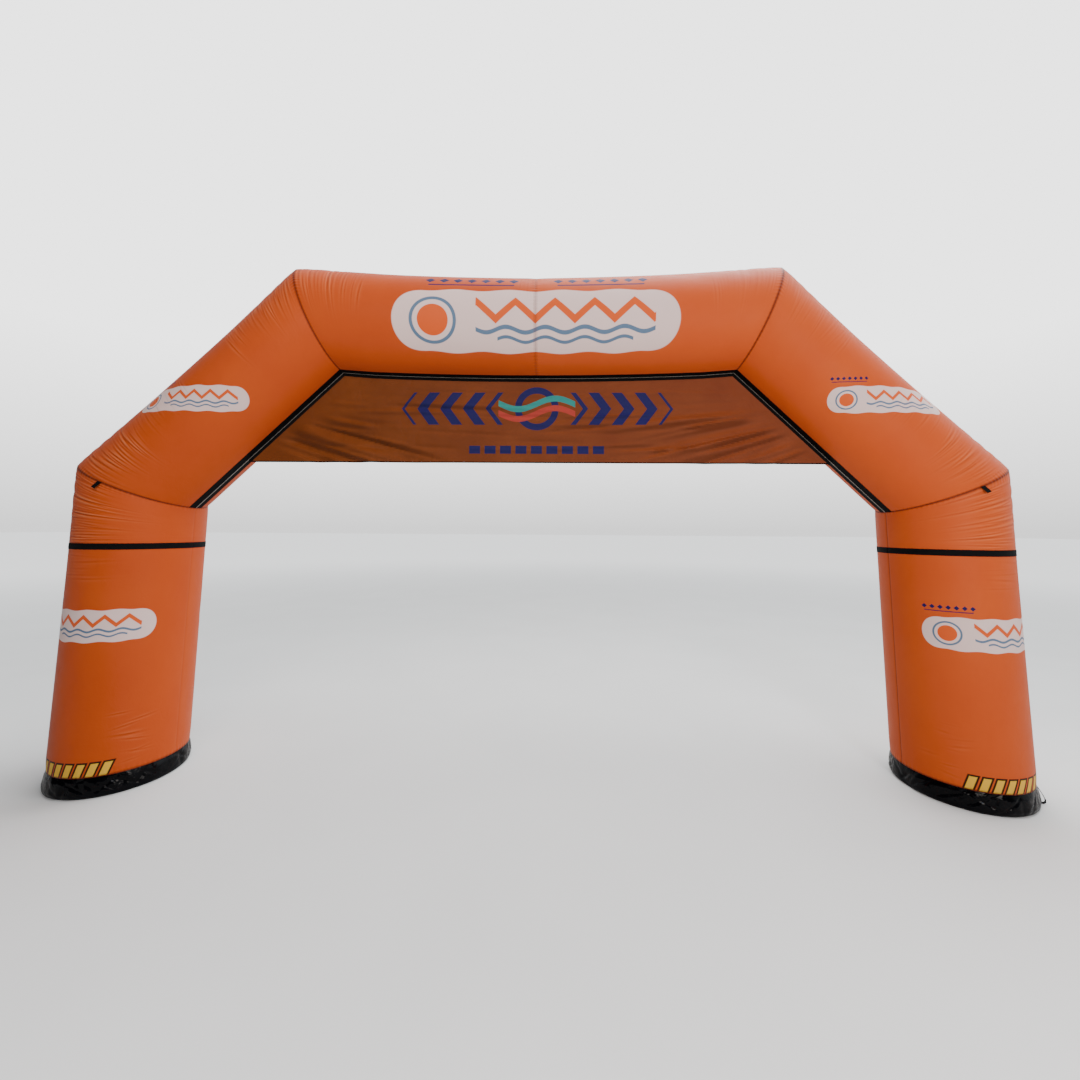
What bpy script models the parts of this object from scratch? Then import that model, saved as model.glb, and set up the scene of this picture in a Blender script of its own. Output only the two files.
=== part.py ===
"""Inflatable event arch.

One fat round tube of orange nylon, cut in mitred lengths: two upright legs, two sloping shoulders
and a beam of two halves that sags a little to its middle seam. The legs stand in black vinyl skirts
and wear a black band. A zip follows the inner line of the shoulders and the beam, and holds a banner
that hangs in the plane of the arch.

Metres, +Z up. The front looks towards -Y, and the origin is on the ground midway between the feet.
Everything is worked out for the right-hand side (+X), and mirrored for the left.
"""
import math

import bmesh
import bpy
import numpy as np

# Driving dimensions
OUTSIDE_WIDTH = 8.00
TUBE_RADIUS = 0.46
SKIRT_HEIGHT = 0.15
KNEE_HEIGHT = 2.44
BEAM_HALF = 1.985
BEAM_HEIGHT = 3.97
BEAM_SAG = 0.055
HEM_HEIGHT = 2.68
GAP = 0.0003

# How the air shapes the cloth
SEAM_TUCK = 0.005
MIDDLE_TUCK = 0.003
SEAM_TUCK_REACH = 0.06
KNEE_RISE = 0.018
CORNER_RISE = 0.028
RISE_REACH = 0.40
LEAN_REACH = 0.50
SIDES = 28

# Trim
BAND_TOP = 1.94
BAND_WIDTH = 0.050
BAND_THICKNESS = 0.002
ZIP_TAPE_HALF = 0.070
ZIP_TAPE_THICKNESS = 0.0015
CHAIN_WIDTH = 0.010
CHAIN_THICKNESS = 0.004
HEADING_WIDTH = 0.028
CLOTH_THICKNESS = 0.002
HEADING_TAIL = 0.022
HEM_WIDTH = 0.012
SKIN_GAP = 0.0005

# Webbing tabs on the knee seams: each lies on one facet, near its front edge, and droops
TAB_WIDTH = 0.034
TAB_LENGTH = 0.060
TAB_SLOT = 0.003
TAB_THICKNESS = 0.002
TAB_FACET = 19
TAB_SHARE = 0.92
TAB_DROOP = 2.00
TAB_ROOT_GAP = 0.0006

# Peg loop on the right foot: it lies on one facet of the skirt and stands out by its reach
LOOP_FACET = 15
LOOP_WIDTH = 0.025
LOOP_THICKNESS = 0.004
LOOP_REACH = 0.034

# Peg loop's path: height, and how far it stands off the skirt as a share of its reach
LOOP_PATH = [(0.142, 0.0), (0.122, 0.0), (0.095, 0.25), (0.065, 0.55), (0.035, 0.85),
             (0.014, 1.0), (0.006, 0.98), (0.003, 0.86), (0.003, 0.0)]

FRONT = np.array([0.0, -1.0, 0.0])
INNER = math.pi
LEG_X = OUTSIDE_WIDTH / 2 - TUBE_RADIUS

# Main gathers: section, the seam they start from, distance from it, depth, half width, reach in degrees
GATHERS = [
    ("leg", "end", 0.090, 0.005, 0.022, 62),
    ("leg", "end", 0.165, 0.006, 0.022, 70),
    ("leg", "end", 0.260, 0.004, 0.022, 55),
    ("leg", "end", 0.360, 0.003, 0.025, 50),
    ("shoulder", "start", 0.100, 0.004, 0.022, 60),
    ("shoulder", "start", 0.180, 0.006, 0.024, 64),
    ("shoulder", "start", 0.275, 0.005, 0.024, 58),
    ("shoulder", "start", 0.390, 0.003, 0.026, 52),
    ("shoulder", "end", 0.130, 0.003, 0.022, 55),
    ("shoulder", "end", 0.220, 0.004, 0.024, 55),
    ("shoulder", "end", 0.330, 0.003, 0.026, 50),
    ("beam", "start", 0.110, 0.003, 0.022, 60),
    ("beam", "start", 0.235, 0.005, 0.022, 75),
    ("beam", "start", 0.300, 0.003, 0.022, 75),
]

# Skirt profile: height as a share of the skirt's, and how far it stands out past the tube
SKIRT_PROFILE = [(0.00, -0.004), (0.08, 0.010), (0.25, 0.016), (0.50, 0.012), (0.78, 0.005), (1.00, -0.008)]

# Slack of the skirt: depth, waves round it, turn
SKIRT_SLACK = [(0.004, 5, 0.6), (0.003, 9, 2.1)]

# Banner folds: from x, from height, to x, to height, depth, half width
FOLDS = [
    (-2.33, 2.95, -1.91, 2.70, 0.020, 0.060),
    (-2.18, 2.99, -1.50, 2.73, -0.018, 0.055),
    (-1.91, 2.99, -1.05, 2.69, 0.020, 0.060),
    (1.84, 3.02, 0.90, 2.80, 0.020, 0.065),
    (2.02, 2.97, 1.26, 2.75, -0.018, 0.060),
    (2.25, 2.89, 1.93, 2.73, 0.018, 0.055),
]

# Finish of each cloth: colour, roughness
FINISHES = {
    "orange_nylon": ((0.62, 0.16, 0.04), 0.55),
    "banner_cloth": ((0.32, 0.09, 0.03), 0.65),
    "black_vinyl": ((0.012, 0.012, 0.016), 0.22),
    "black_webbing": ((0.010, 0.010, 0.012), 0.75),
    "grey_coil": ((0.30, 0.28, 0.26), 0.45),
}


def clear_scene():
    for item in list(bpy.data.objects):
        bpy.data.objects.remove(item)


def finish(name):
    """The named cloth's material, made once."""
    material = bpy.data.materials.get(name)
    if material is None:
        material = bpy.data.materials.new(name)
        material.use_nodes = True
        colour, roughness = FINISHES[name]
        shader = material.node_tree.nodes["Principled BSDF"]
        shader.inputs["Base Color"].default_value = (*colour, 1.0)
        shader.inputs["Roughness"].default_value = roughness
        shader.inputs["Metallic"].default_value = 0.0
    return material


def loft(name, loops, material, mirrored=False, ring=False, sheet=False):
    """Skin a row of closed loops, shape (loops, points, 3), into one closed body.

    A ring joins its last loop to its first; otherwise both ends are capped flat. A sheet's loops run
    down its front and up its back, and its two faces are cut along the same diagonals, so that its
    thickness stays even.
    """
    count, size = loops.shape[:2]
    points = loops.reshape(-1, 3).copy()
    if mirrored:
        points[:, 0] *= -1
    shape = bmesh.new()
    verts = [shape.verts.new(point) for point in points]
    for i in range(count if ring else count - 1):
        here, there = i * size, (i + 1) % count * size
        for j in range(size):
            k = (j + 1) % size
            corners = [verts[here + j], verts[there + j], verts[there + k], verts[here + k]]
            if sheet and j >= size // 2:
                corners = corners[1:] + corners[:1]
            shape.faces.new(corners[:3])
            shape.faces.new([corners[0], *corners[2:]])
    if not ring:
        shape.faces.new(verts[:size])
        shape.faces.new(verts[-size:])
    bmesh.ops.recalc_face_normals(shape, faces=shape.faces)
    if shape.calc_volume(signed=True) < 0:
        bmesh.ops.reverse_faces(shape, faces=shape.faces)
    mesh = bpy.data.meshes.new(name)
    shape.to_mesh(mesh)
    shape.free()
    mesh.materials.append(finish(material))
    mesh.shade_smooth()
    mesh.set_sharp_from_angle(angle=math.radians(35))
    body = bpy.data.objects.new(name, mesh)
    bpy.context.scene.collection.objects.link(body)
    return body


def unit(vector):
    return vector / np.linalg.norm(vector)


class Section:
    """A straight length of tube between two seams, each flat and leaned by the slope of its mitre."""

    def __init__(self, name, start, end, spacing):
        self.name = name
        self.start = np.array([start[0], 0.0, start[1]])
        span = np.array([end[0], 0.0, end[1]]) - self.start
        self.length = np.linalg.norm(span)
        self.along = unit(span)
        self.outward = np.array([self.along[2], 0.0, -self.along[0]])
        self.start_slope = 0.0
        self.end_slope = 0.0
        self.end_tuck = SEAM_TUCK
        self.outer_dip = 0.0
        self.end_dip = 0.0
        self.start_rise = 0.0
        self.end_rise = 0.0
        self.sag = 0.0
        self.spacing = spacing
        self.gathers = [row[1:] for row in GATHERS if row[0] == name]

    def gather_places(self):
        """Where each gather lies, measured from the section's start."""
        places = [row[1] if row[0] == "start" else self.length - row[1] for row in self.gathers]
        return list(zip(places, self.gathers))

    def radius(self, angles, places):
        """Tube radius less the tuck at both seams, the dip of the outer line and the gathers.

        The dip is a bow between the seams, plus a straight fall to the section's end, less the rise
        to the point of each corner.
        """
        inner_share = np.clip(-np.cos(angles), 0, 1) ** 4
        start_tuck = SEAM_TUCK * np.exp(-(places / SEAM_TUCK_REACH) ** 2)
        end_tuck = self.end_tuck * np.exp(-((self.length - places) / SEAM_TUCK_REACH) ** 2)
        tuck = (1 - inner_share) * (start_tuck + end_tuck)
        share = places / self.length
        dip = self.outer_dip * 4 * share * (1 - share) + self.end_dip * share
        dip = dip - self.start_rise * np.exp(-(places / RISE_REACH) ** 2)
        dip = dip - self.end_rise * np.exp(-((self.length - places) / RISE_REACH) ** 2)
        radius = TUBE_RADIUS - tuck - dip * np.clip(np.cos(angles), 0, 1) ** 2
        wrapped = np.arctan2(np.sin(angles), np.cos(angles))
        for place, (_, _, depth, half_width, reach) in self.gather_places():
            across = np.exp(-((places - place) / half_width) ** 2)
            radius = radius - depth * across * np.exp(-(wrapped / math.radians(reach)) ** 2)
        return radius

    def wall(self, angles, places, proud=0.0):
        """Points on the tube's wall, one row for each place along it.

        A point is the axis point at its place, moved along the axis by the lean of the nearer mitre,
        out by the radius, and down by the sag.
        """
        angles = np.atleast_1d(np.asarray(angles, float))[None, :]
        places = np.atleast_1d(np.asarray(places, float))[:, None]
        inner_share = np.clip(-np.cos(angles), 0, 1) ** 4
        outer_share = np.clip(np.cos(angles), 0, 1) ** 2
        seam_radius = TUBE_RADIUS - SEAM_TUCK * (1 - inner_share) + proud
        at_start = (seam_radius + self.start_rise * outer_share) * self.start_slope
        at_end = (seam_radius + self.end_rise * outer_share) * self.end_slope
        from_start = np.clip(1 - (places - GAP) / LEAN_REACH, 0, 1)
        from_end = np.clip(1 - (self.length - places - GAP) / LEAN_REACH, 0, 1)
        lean = np.cos(angles) * (from_end * at_end - from_start * at_start)
        out = np.cos(angles)[..., None] * self.outward + np.sin(angles)[..., None] * FRONT
        sag = self.sag * (1 - (1 - places / self.length) ** 2)
        radius = self.radius(angles, places) + proud
        return (self.start + (places + lean)[..., None] * self.along + radius[..., None] * out
                - sag[..., None] * self.outward)

    def places(self, extra=()):
        """Ring places: even steps, three rings for each gather, and any extra ones."""
        steps = max(2, round(self.length / self.spacing))
        fine = [place + shift * row[3] for place, row in self.gather_places() for shift in (-1, 0, 1)]
        fine += list(extra)
        near = 0.4 * self.spacing
        even = [place for place in np.linspace(0, self.length, steps + 1)[1:-1]
                if min([abs(place - other) for other in fine] + [near]) >= near]
        return np.array(sorted([GAP / 2] + fine + even + [self.length - GAP / 2]))


def tube_angles():
    """Angles round the tube from its outer line, with the zip tape's edges and the inner line."""
    edge = math.pi - ZIP_TAPE_HALF / TUBE_RADIUS
    return np.append(np.linspace(-edge, edge, SIDES - 1), INNER)


def mitre(lower, upper):
    """Lean the seam between two sections by half the turn from one to the other."""
    turn = math.acos(float(np.dot(lower.along, upper.along)))
    lower.end_slope = math.tan(turn / 2)
    upper.start_slope = math.tan(turn / 2)


def make_sections():
    leg = Section("leg", (LEG_X, SKIRT_HEIGHT), (LEG_X, KNEE_HEIGHT), 0.26)
    shoulder = Section("shoulder", (LEG_X, KNEE_HEIGHT), (BEAM_HALF, BEAM_HEIGHT), 0.20)
    beam = Section("beam", (BEAM_HALF, BEAM_HEIGHT), (0.0, BEAM_HEIGHT), 0.10)
    mitre(leg, shoulder)
    mitre(shoulder, beam)
    leg.end_rise = shoulder.start_rise = KNEE_RISE
    shoulder.end_rise = beam.start_rise = CORNER_RISE
    shoulder.outer_dip = 0.012
    beam.end_dip = 0.026
    beam.sag = BEAM_SAG
    beam.end_tuck = MIDDLE_TUCK
    return leg, shoulder, beam


def add_tube(section, side, mirrored, extra=()):
    rings = section.wall(tube_angles(), section.places(extra))
    return loft(f"{section.name}_{side}", rings, "orange_nylon", mirrored)


def skirt_radius(angles, share):
    """Skirt profile plus its slack, which is greatest half-way down and dies out at both edges."""
    profile = np.array(SKIRT_PROFILE)
    stand_out = np.interp(share, profile[:, 0], profile[:, 1])
    slack = sum(depth * np.sin(waves * angles + turn) for depth, waves, turn in SKIRT_SLACK)
    return TUBE_RADIUS + stand_out + slack * np.sin(math.pi * share)


def add_skirt(side, mirrored):
    """Black vinyl foot: the stack of rings in SKIRT_PROFILE, flat where it meets the ground."""
    angles = tube_angles()
    shares = [row[0] for row in SKIRT_PROFILE]
    rings = []
    for share in shares:
        radius = skirt_radius(angles, share)
        height = min(share * SKIRT_HEIGHT, SKIRT_HEIGHT - GAP / 2)
        rings.append(np.stack([LEG_X + radius * np.cos(angles), -radius * np.sin(angles),
                               np.full_like(angles, height)], axis=1))
    return loft(f"skirt_{side}", np.array(rings), "black_vinyl", mirrored)


def band_edges():
    """Places of the band's two edges on the leg."""
    top = BAND_TOP - SKIRT_HEIGHT
    return top - BAND_WIDTH, top


def add_band(leg, side, mirrored):
    """Webbing belt round the leg, its wall parallel to the leg's facets."""
    inner = leg.wall(tube_angles(), band_edges(), SKIN_GAP)
    outer = leg.wall(tube_angles(), band_edges(), SKIN_GAP + BAND_THICKNESS)
    loops = np.stack([inner[0], outer[0], outer[1], inner[1]], axis=1)
    return loft(f"leg_band_{side}", loops, "black_webbing", mirrored, ring=True)


def strip(shoulder, beam, shoulder_places, angles, low, high):
    """Loops of a strip on the inner line: from the beam's middle, round the corner, down the shoulder."""
    loops = []
    for section, places in ((beam, beam.places()[:0:-1]), (shoulder, shoulder_places)):
        under = section.wall(angles, places, low)
        over = section.wall(angles, places, high)
        loops.append(np.concatenate([under, over[:, ::-1]], axis=1))
    return np.concatenate(loops)


def add_zip(shoulder, beam, side, mirrored):
    """Tape folded over the inner line, with the coil of the zip along its middle."""
    places = np.append(shoulder.length, shoulder.places()[-2::-1])
    edge = ZIP_TAPE_HALF / TUBE_RADIUS
    tape_top = SKIN_GAP + ZIP_TAPE_THICKNESS
    loops = strip(shoulder, beam, places, [INNER - edge, INNER, INNER + edge], SKIN_GAP, tape_top)
    loft(f"zip_tape_{side}", loops, "black_webbing", mirrored)
    low = tape_top + GAP
    loops = strip(shoulder, beam, places, [INNER, INNER], low, low + CHAIN_THICKNESS)
    loops += np.array([-0.5, 0.5, 0.5, -0.5])[None, :, None] * CHAIN_WIDTH * FRONT
    loft(f"zip_coil_{side}", loops, "grey_coil", mirrored)


def heading_low():
    return SKIN_GAP + ZIP_TAPE_THICKNESS + GAP + CHAIN_THICKNESS + GAP


def inner_place(shoulder, height, proud):
    """Place on the shoulder where its inner line, stood off by proud, is at the given height."""
    top = shoulder.wall(INNER, shoulder.length, proud)[0, 0]
    return shoulder.length - (top[2] - height) / shoulder.along[2]


def straight_inner(shoulder, places, proud):
    """Inner line of the shoulder carried straight on, without the lean of the knee's mitre."""
    top = shoulder.wall(INNER, shoulder.length, proud)[0, 0]
    return top + (np.asarray(places, float) - shoulder.length)[:, None] * shoulder.along


def add_heading(shoulder, beam, side, mirrored):
    """The banner's own half of the zip: a tape along its top and down its slanted side."""
    low, high = heading_low(), heading_low() + HEADING_WIDTH
    tail = inner_place(shoulder, HEM_HEIGHT - HEADING_TAIL, high)
    places = np.linspace(shoulder.length, tail, 6)
    loops = []
    for proud in (low, high):
        edge = np.concatenate([beam.wall(INNER, beam.places()[:0:-1], proud)[:, 0],
                               straight_inner(shoulder, places, proud)])
        loops.append(edge)
    inner, outer = loops
    half = CLOTH_THICKNESS / 2 * FRONT
    section = np.stack([inner - half, inner + half, outer + half, outer - half], axis=1)
    return loft(f"banner_heading_{side}", section, "black_webbing", mirrored)


def fold_depth(x, z, sides):
    """Banner's depth out of its plane: each fold is a soft ridge along a line that fades at its ends.

    All folds fade to nothing at the banner's top and sides, where the tape holds it flat.
    """
    depth = np.zeros_like(x)
    for x0, z0, x1, z1, height, half_width in FOLDS:
        length = math.hypot(x1 - x0, z1 - z0)
        run = ((x - x0) * (x1 - x0) + (z - z0) * (z1 - z0)) / length
        off = ((z - z0) * (x1 - x0) - (x - x0) * (z1 - z0)) / length
        middle = (2 * run / length - 1) / 1.15
        depth += height * np.exp(-(off / half_width) ** 2) * np.exp(-middle ** 4)
    return depth * sides


def banner_points(shoulder, beam, rows):
    """Grid over the banner, one line for each column: shape (columns, rows, 3).

    The columns start at the beam's ring places and fan out to the hem. A row is a share of the drop,
    and a share past 1 lies below the hem.
    """
    proud = heading_low() + HEADING_WIDTH + GAP
    half_top = beam.wall(INNER, np.append(beam.length, beam.places()[-2:0:-1]), proud)[:, 0]
    corner = beam.wall(INNER, 0.0, proud)[0, 0]
    half_top = np.vstack([half_top, corner])
    top = np.vstack([half_top[:0:-1] * np.array([-1, 1, 1]), half_top])
    hem_corner = straight_inner(shoulder, [inner_place(shoulder, HEM_HEIGHT, proud)], proud)[0]
    spread = hem_corner[0] / corner[0]
    share = np.asarray(rows, float)[None, :]
    x_top = top[:, 0][:, None]
    z_top = top[:, 2][:, None]
    x = x_top * (1 + (spread - 1) * share)
    z = z_top + (HEM_HEIGHT - z_top) * share
    across = np.clip((1 - np.abs(x_top) / corner[0]) / 0.08, 0, 1)
    y = fold_depth(x, z, across * np.clip(share / 0.3, 0, 1))
    return np.stack([x, y, z], axis=-1)


def cloth(name, grid, material):
    """Give a grid of columns its thickness: down the front face of each column and up the back."""
    half = CLOTH_THICKNESS / 2 * FRONT
    loops = np.concatenate([grid + half, grid[:, ::-1] - half], axis=1)
    return loft(name, loops, material, sheet=True)


def add_banner(shoulder, beam):
    drop = BEAM_HEIGHT - TUBE_RADIUS - HEM_HEIGHT
    cloth("banner", banner_points(shoulder, beam, np.linspace(0, 1, 9)), "banner_cloth")
    hem = banner_points(shoulder, beam, [1 + GAP / drop, 1 + HEM_WIDTH / drop])
    hem[..., 1] = banner_points(shoulder, beam, [1.0])[..., 1]
    cloth("banner_hem", hem, "black_webbing")


def round_strap(path, width_axis, side_axis, out_axis, width, thickness):
    """Loops of a strap carried along a flat path of (out, side) pairs and closed on itself."""
    step = np.roll(path, -1, axis=0) - np.roll(path, 1, axis=0)
    normal = np.stack([step[:, 1], -step[:, 0]], axis=1)
    normal /= np.linalg.norm(normal, axis=1)[:, None]
    loops = []
    for across, rise in ((-0.5, -0.5), (-0.5, 0.5), (0.5, 0.5), (0.5, -0.5)):
        flat = path + rise * thickness * normal
        loops.append(flat[:, :1] * out_axis + flat[:, 1:] * side_axis + across * width * width_axis)
    return np.stack(loops, axis=1)


def add_tab(leg, side, mirrored):
    """Folded webbing tab that hangs from the front of the knee seam, on one facet of the tube."""
    edge = leg.wall(tube_angles()[TAB_FACET:TAB_FACET + 2], leg.length)[0]
    width_axis = unit(edge[1] - edge[0])
    facet_normal = unit(np.cross(leg.along, width_axis))
    root = edge[0] + TAB_SHARE * (edge[1] - edge[0])
    droop = np.array([0.0, 0.0, -TAB_DROOP])
    out_axis = unit(facet_normal + droop - np.dot(droop, width_axis) * width_axis)
    side_axis = np.cross(width_axis, out_axis)
    radius = (TAB_SLOT + TAB_THICKNESS) / 2
    turns = np.linspace(-math.pi / 2, math.pi / 2, 5)
    far = np.stack([TAB_LENGTH - radius + radius * np.cos(turns), radius * np.sin(turns)], axis=1)
    near = np.stack([radius - radius * np.cos(turns), -radius * np.sin(turns)], axis=1)
    loops = round_strap(np.concatenate([far, near]), width_axis, side_axis, out_axis,
                        TAB_WIDTH, TAB_THICKNESS)
    depth = np.dot(loops, facet_normal).min()
    loops = loops + (TAB_ROOT_GAP - depth) * facet_normal
    return loft(f"tab_{side}", root + loops, "black_webbing", mirrored)


def wall_behind_loop(angles, heights):
    """How far the skirt's facet lies from the tube's axis behind the strap, at the prouder of its edges."""
    half_turn = (angles[1] - angles[0]) / 2
    radii = np.array([skirt_radius(angles, share) for share, _ in SKIRT_PROFILE])
    out, side = radii * math.cos(half_turn), radii * math.sin(half_turn)
    slope = (out[:, 1] - out[:, 0]) / side.sum(axis=1)
    proud = out[:, 0] + slope * side[:, 0] + np.abs(slope) * LOOP_WIDTH / 2
    return np.interp(heights, [share * SKIRT_HEIGHT for share, _ in SKIRT_PROFILE], proud)


def add_peg_loop():
    """Strap sewn to one facet of the right skirt: flat on the skirt at its top, then it slants out to
    the ground and turns back to the skirt's foot.
    """
    angles = tube_angles()[LOOP_FACET:LOOP_FACET + 2]
    middle = angles.mean()
    heights, shares = np.array(LOOP_PATH).T
    out = wall_behind_loop(angles, heights) + SKIN_GAP + LOOP_THICKNESS / 2 + LOOP_REACH * shares
    out[-1] = wall_behind_loop(angles, heights[-1] + LOOP_THICKNESS / 2) + SKIN_GAP
    path = np.stack([out, heights], axis=1)
    step = np.gradient(path, axis=0)
    normal = np.stack([-step[:, 1], step[:, 0]], axis=1)
    normal /= np.linalg.norm(normal, axis=1)[:, None]
    out_axis = np.array([math.cos(middle), -math.sin(middle), 0.0])
    width_axis = np.array([-math.sin(middle), -math.cos(middle), 0.0])
    rise = np.array([0.0, 0.0, 1.0])
    loops = []
    for across, lift in ((-0.5, -0.5), (-0.5, 0.5), (0.5, 0.5), (0.5, -0.5)):
        flat = path + lift * LOOP_THICKNESS * normal
        loops.append(flat[:, :1] * out_axis + flat[:, 1:] * rise + across * LOOP_WIDTH * width_axis)
    loops = np.stack(loops, axis=1) + np.array([LEG_X, 0.0, 0.0])
    loops[-1, :, :2] = loops[-1, [0, 0, 2, 2], :2]
    return loft("peg_loop_right", loops, "black_webbing")


def build():
    clear_scene()
    leg, shoulder, beam = make_sections()
    for side, mirrored in (("right", False), ("left", True)):
        add_tube(leg, side, mirrored, band_edges())
        add_tube(shoulder, side, mirrored)
        add_tube(beam, side, mirrored)
        add_skirt(side, mirrored)
        add_band(leg, side, mirrored)
        add_zip(shoulder, beam, side, mirrored)
        add_heading(shoulder, beam, side, mirrored)
        add_tab(leg, side, mirrored)
    add_banner(shoulder, beam)
    add_peg_loop()


build()
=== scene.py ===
"""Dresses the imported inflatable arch: air-tight skins with their gathers, vinyl feet, webbing, zips and
the hung banner, each laid over its own solid in the same frame. Metres, +Z up, front towards -Y.
"""

import math

import bpy
import mathutils
import numpy as np
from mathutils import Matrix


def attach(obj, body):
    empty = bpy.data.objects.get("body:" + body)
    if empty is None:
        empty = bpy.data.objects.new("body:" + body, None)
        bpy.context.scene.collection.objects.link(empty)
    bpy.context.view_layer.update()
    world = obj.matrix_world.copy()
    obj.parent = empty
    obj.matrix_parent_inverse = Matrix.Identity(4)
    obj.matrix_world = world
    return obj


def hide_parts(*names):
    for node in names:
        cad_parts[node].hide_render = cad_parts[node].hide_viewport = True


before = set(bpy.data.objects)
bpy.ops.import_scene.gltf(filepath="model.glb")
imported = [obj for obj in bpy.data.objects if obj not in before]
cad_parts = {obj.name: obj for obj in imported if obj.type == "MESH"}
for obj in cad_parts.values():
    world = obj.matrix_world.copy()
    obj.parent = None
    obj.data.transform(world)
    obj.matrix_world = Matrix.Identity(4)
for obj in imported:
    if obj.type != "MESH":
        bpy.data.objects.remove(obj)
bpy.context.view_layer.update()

# Arch, as in the solids
TUBE_RADIUS = 0.46
LEG_X = 3.54
SKIRT_HEIGHT = 0.15
KNEE_HEIGHT = 2.44
BEAM_HALF = 1.985
BEAM_HEIGHT = 3.97
BEAM_SAG = 0.055
HEM_HEIGHT = 2.68
GAP = 0.0003
SEAM_TUCK = 0.005
MIDDLE_TUCK = 0.003
SEAM_TUCK_REACH = 0.06
KNEE_RISE = 0.018
CORNER_RISE = 0.028
RISE_REACH = 0.40
LEAN_REACH = 0.50
SKIN_GAP = 0.0005
BAND_TOP = 1.94
BAND_WIDTH = 0.050
BAND_THICKNESS = 0.002
ZIP_TAPE_HALF = 0.070
ZIP_TAPE_THICKNESS = 0.0015
CHAIN_WIDTH = 0.010
CHAIN_THICKNESS = 0.004
HEADING_WIDTH = 0.028
CLOTH_THICKNESS = 0.002
HEM_WIDTH = 0.012
FRONT = np.array([0.0, -1.0, 0.0])
INNER = math.pi

# Depth of the sewn line outside each tube and of the one inside the leg, right and left, and half width
OUTER_GROOVE = 0.0030
INNER_GROOVE = {1: 0.0030, -1: 0.0012}
GROOVE_HALF = 0.008

# Spacing of the skin's grid at the seams, at the creases and elsewhere
SEAM_STEP = 0.0025
CREASE_STEP = 0.0046
PLAIN_STEP = 0.018

# Seeds of the random creases, pleats and folds
CREASE_SEED = {"leg": 11, "shoulder": 23, "beam": 37}
PLEAT_SEED = 5
FOLD_SEED = 91

# Main gathers: section, the seam they start from, distance from it, depth, half width, reach in degrees
GATHERS = [
    ("leg", "end", 0.090, 0.005, 0.022, 62),
    ("leg", "end", 0.165, 0.006, 0.022, 70),
    ("leg", "end", 0.260, 0.004, 0.022, 55),
    ("leg", "end", 0.360, 0.003, 0.025, 50),
    ("shoulder", "start", 0.100, 0.004, 0.022, 60),
    ("shoulder", "start", 0.180, 0.006, 0.024, 64),
    ("shoulder", "start", 0.275, 0.005, 0.024, 58),
    ("shoulder", "start", 0.390, 0.003, 0.026, 52),
    ("shoulder", "end", 0.130, 0.003, 0.022, 55),
    ("shoulder", "end", 0.220, 0.004, 0.024, 55),
    ("shoulder", "end", 0.330, 0.003, 0.026, 50),
    ("beam", "start", 0.110, 0.003, 0.022, 60),
    ("beam", "start", 0.235, 0.005, 0.022, 75),
    ("beam", "start", 0.300, 0.003, 0.022, 75),
]

# Small creases: section, from and to in metres from its start, how many on each face, deepest in metres,
# middle angles and reach in degrees, slant in metres for each radian, share of the depth on the right
CREASES = [
    ("leg", 1.80, 2.27, 26, 0.0042, 58, 98, 22, 0.025, 0.7),
    ("leg", 2.00, 2.10, 2, 0.0058, 78, 84, 34, 0.02, 0.5),
    ("leg", 1.50, 1.74, 6, 0.0016, 50, 90, 16, 0.03, 0.8),
    ("leg", 0.08, 0.45, 8, 0.0030, 124, 152, 8, 0.10, 0.5),
    ("shoulder", 0.03, 0.44, 18, 0.0055, 66, 94, 15, 0.03, 0.5),
    ("shoulder", 0.44, 1.00, 14, 0.0022, 56, 84, 14, 0.03, 0.5),
    ("shoulder", 1.52, 2.13, 30, 0.0040, 44, 82, 16, 0.03, 0.35),
    ("beam", 0.04, 0.50, 18, 0.0028, 35, 80, 20, 0.015, 0.35),
    ("beam", 0.115, 0.150, 2, 0.0040, 46, 52, 26, 0.01, 0.2),
    ("beam", 0.250, 0.276, 2, 0.0060, 58, 62, 42, 0.01, 0.2),
    ("beam", 1.86, 1.96, 3, 0.0015, 10, 60, 25, 0.02, 1.0),
]

# Crease depth at which its painted shade is full, the painted shade's strength, and the strength of the
# painted highlight on its ridges
CREASE_SHADE_DEPTH = 0.0036
CREASE_SHADE = 0.60
RIDGE_LIGHT = 0.45

# Skirt profile: height as a share of the skirt's, and how far it stands out past the tube
SKIRT_PROFILE = [(0.00, -0.004), (0.08, 0.010), (0.25, 0.016), (0.50, 0.012), (0.78, 0.005), (1.00, -0.008)]
SKIRT_SLACK = [(0.004, 5, 0.6), (0.003, 9, 2.1)]

# Banner folds: from x, from height, to x, to height, depth, half width
FOLDS = [
    (-2.33, 2.95, -1.91, 2.70, 0.020, 0.060),
    (-2.18, 2.99, -1.50, 2.73, -0.018, 0.055),
    (-1.91, 2.99, -1.05, 2.69, 0.020, 0.060),
    (1.84, 3.02, 0.90, 2.80, 0.020, 0.065),
    (2.02, 2.97, 1.26, 2.75, -0.018, 0.060),
    (2.25, 2.89, 1.93, 2.73, 0.018, 0.055),
]

# Steepness of a fold at which its painted light, where it faces up, and its painted shade, where it faces
# down, are full
FOLD_SLOPE = 0.45


def colour(code):
    """Linear colour of an sRGB hex code: divided by 12.92 when dark, else raised to 2.4 after an offset."""
    srgb = np.array([int(code[i:i + 2], 16) for i in (0, 2, 4)]) / 255
    linear = np.where(srgb <= 0.04045, srgb / 12.92, ((srgb + 0.055) / 1.055) ** 2.4)
    return (*linear.tolist(), 1.0)


def unit(vector):
    return vector / np.linalg.norm(vector)


def uneven(low, high, spacing):
    """Steps from low to high whose length at each place is spacing(place)."""
    guide = np.linspace(low, high, 6000)
    rate = 1 / spacing(guide)
    count = np.concatenate([[0], np.cumsum((rate[1:] + rate[:-1]) / 2 * np.diff(guide))])
    return np.interp(np.linspace(0, count[-1], int(math.ceil(count[-1])) + 1), count, guide)


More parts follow.
